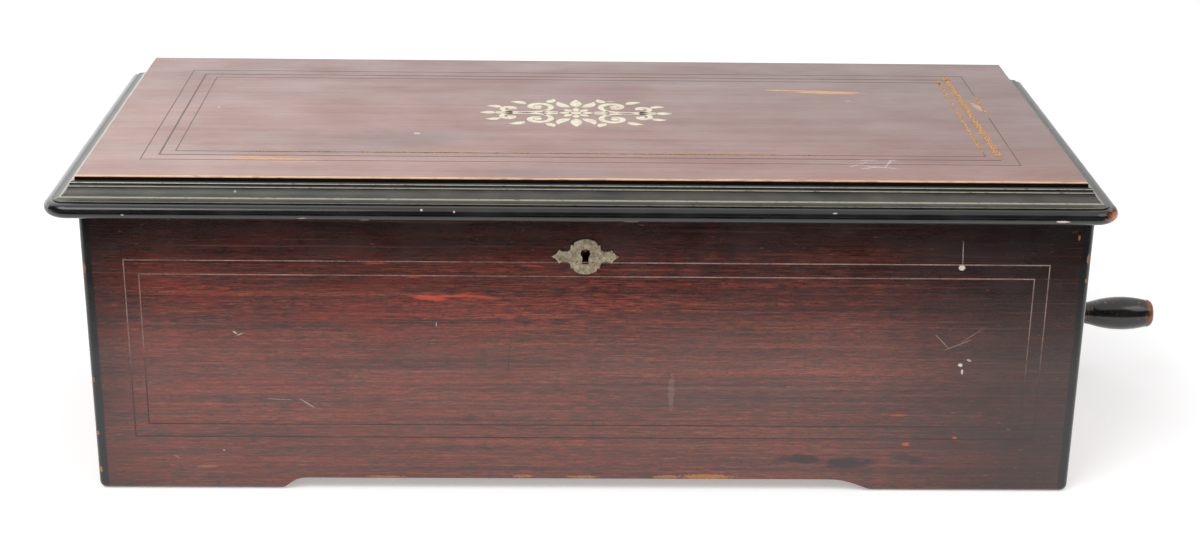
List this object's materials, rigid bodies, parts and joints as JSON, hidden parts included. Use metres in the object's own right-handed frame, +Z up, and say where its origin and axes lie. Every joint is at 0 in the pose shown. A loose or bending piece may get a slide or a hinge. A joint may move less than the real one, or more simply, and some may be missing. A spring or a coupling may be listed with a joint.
{
  "type": "cylinder musical box",
  "caption": "Long low wooden musical box with a hinged moulded lid, an end crank on a turned handle, and a spring driven cylinder, comb and air-brake movement under an inner glass lid.",
  "frame": {"origin": "middle of the overall box's base, on the surface that the box stands on", "axes": "+X along the case towards the crank, +Y from the front to the hinges, +Z up"},
  "size_m": [0.6361, 0.257, 0.1825],
  "materials": {
    "front_veneer": "polished red-brown rosewood grain",
    "side_veneer": "dark stained and polished",
    "lid_veneer": "polished veneer with fine light lines",
    "plain_board": "bare softwood, darkened",
    "ebonised": "black polish, rubbed on the edges",
    "handle_wood": "black turned hardwood, rubbed",
    "frame_wood": "black polish",
    "glass": "clear sheet",
    "card": "bare cream card",
    "gilt_iron": "bronze painted casting",
    "steel": "polished steel",
    "blued_steel": "blued spring steel",
    "plated_iron": "dull nickel plate",
    "brass": "aged, lacquered"
  },
  "bodies": {
    "case": {"front_board": "front_veneer", "back_board": "side_veneer", "left_board": "side_veneer", "right_board": "side_veneer", "bottom_board": "plain_board", "glass_lid_ledges": "plain_board", "case_hinge_leaves": "brass", "hinge_pins": "steel", "lock_case": "brass", "escutcheon": "brass", "glass_hinge_case_leaves": "brass", "bedplate": "gilt_iron", "bedplate_bolts": "steel", "inner_bridge": "gilt_iron", "outer_bridge": "gilt_iron", "left_bridge": "gilt_iron", "bridge_screws": "steel", "click_spring": "blued_steel", "winding_bush": "brass", "comb": "steel", "comb_base": "gilt_iron", "comb_screws": "steel", "governor_frame": "brass", "governor_cock": "brass", "governor_end_cap": "steel", "lever_bracket": "brass"},
    "lid": {"lid_board": "lid_veneer", "lid_moulding_front": "ebonised", "lid_moulding_left": "ebonised", "lid_moulding_right": "ebonised", "strike_plate": "brass", "tune_card": "card", "card_tacks": "brass", "lid_hinge_leaves": "brass"},
    "glass_lid": {"glass_lid_frame": "frame_wood", "glass_pane": "glass", "glass_lid_knob": "brass", "glass_hinge_frame_leaves": "brass"},
    "bolt": {"lock_bolt": "brass"},
    "crank": {"winding_arbor": "steel", "ratchet_wheel": "steel", "crank_arm": "plated_iron", "crank_nut": "plated_iron"},
    "handle": {"crank_handle": "handle_wood"},
    "pawl": {"click": "steel"},
    "barrel": {"spring_barrel": "brass", "barrel_cover": "brass", "mainspring": "blued_steel"},
    "cylinder": {"cylinder_arbor": "steel", "cylinder_pinion": "steel", "cylinder_wheel": "brass"},
    "cylinder_sleeve": {"cylinder_shell": "brass", "cylinder_end_left": "brass", "cylinder_end_right": "brass"},
    "snail": {"tune_snail": "brass"},
    "governor_one": {"governor_first_wheel": "brass"},
    "governor_two": {"governor_worm_wheel": "brass"},
    "fly": {"governor_fly": "brass"},
    "start": {"start_lever": "brass"},
    "change": {"change_lever": "brass"}
  },
  "joints": [
    {"name": "lid_hinge", "type": "hinge", "parent": "case", "child": "lid", "pos_m": [-0.03475, 0.12595, 0.1635], "axis": [-1, 0, 0], "range_deg": [0, 100]},
    {"name": "glass_lid_hinge", "type": "hinge", "parent": "case", "child": "glass_lid", "pos_m": [-0.03175, 0.10755, 0.1524], "axis": [-1, 0, 0], "range_deg": [0, 90]},
    {"name": "lock_bolt_slide", "type": "slide", "parent": "case", "child": "bolt", "axis": [0, 0, 1], "range_m": [0, 0.005]},
    {"name": "crank_turn", "type": "hinge", "parent": "case", "child": "crank", "pos_m": [0.25025, 0.02695, 0.098], "axis": [1, 0, 0], "continuous": true},
    {"name": "handle_spin", "type": "hinge", "parent": "crank", "child": "handle", "pos_m": [0.25665, 0.02695, 0.0514], "axis": [1, 0, 0], "continuous": true},
    {"name": "click_lift", "type": "hinge", "parent": "case", "child": "pawl", "pos_m": [0.21475, 0.05295, 0.1135], "axis": [-1, 0, 0], "range_deg": [0, 7]},
    {"name": "barrel_turn", "type": "hinge", "parent": "case", "child": "barrel", "pos_m": [0.16025, 0.02695, 0.098], "axis": [1, 0, 0], "continuous": true},
    {"name": "cylinder_turn", "type": "hinge", "parent": "case", "child": "cylinder", "pos_m": [-0.03175, -0.01705, 0.098], "axis": [1, 0, 0], "continuous": true},
    {"name": "cylinder_shift", "type": "slide", "parent": "cylinder", "child": "cylinder_sleeve", "axis": [1, 0, 0], "range_m": [0, 0.0021]},
    {"name": "snail_turn", "type": "hinge", "parent": "cylinder", "child": "snail", "pos_m": [-0.15775, -0.00265, 0.098], "axis": [1, 0, 0], "range_deg": [0, 300]},
    {"name": "governor_one_turn", "type": "hinge", "parent": "case", "child": "governor_one", "pos_m": [-0.18025, 0.00895, 0.09074], "axis": [1, 0, 0], "continuous": true},
    {"name": "governor_two_turn", "type": "hinge", "parent": "case", "child": "governor_two", "pos_m": [-0.18025, 0.02305, 0.09587], "axis": [1, 0, 0], "continuous": true},
    {"name": "fly_spin", "type": "hinge", "parent": "case", "child": "fly", "pos_m": [-0.20075, 0.03255, 0.06], "axis": [0, 0, 1], "continuous": true},
    {"name": "start_lever_swing", "type": "hinge", "parent": "case", "child": "start", "pos_m": [-0.20825, -0.06905, 0.073], "axis": [1, 0, 0], "range_deg": [0, 4]},
    {"name": "change_lever_swing", "type": "hinge", "parent": "case", "child": "change", "pos_m": [-0.15765, -0.06905, 0.073], "axis": [1, 0, 0], "range_deg": [0, 4.5]}
  ],
  "couplings": [
    {"joint": "glass_lid_hinge", "follows": "lid_hinge", "ratio": 0.9},
    {"joint": "barrel_turn", "follows": "cylinder_turn", "ratio": -0.33333},
    {"joint": "governor_one_turn", "follows": "cylinder_turn", "ratio": -8},
    {"joint": "governor_two_turn", "follows": "cylinder_turn", "ratio": 40},
    {"joint": "fly_spin", "follows": "cylinder_turn", "ratio": -1200},
    {"joint": "snail_turn", "follows": "cylinder_shift", "rad_per_m": 2493.3}
  ]
}
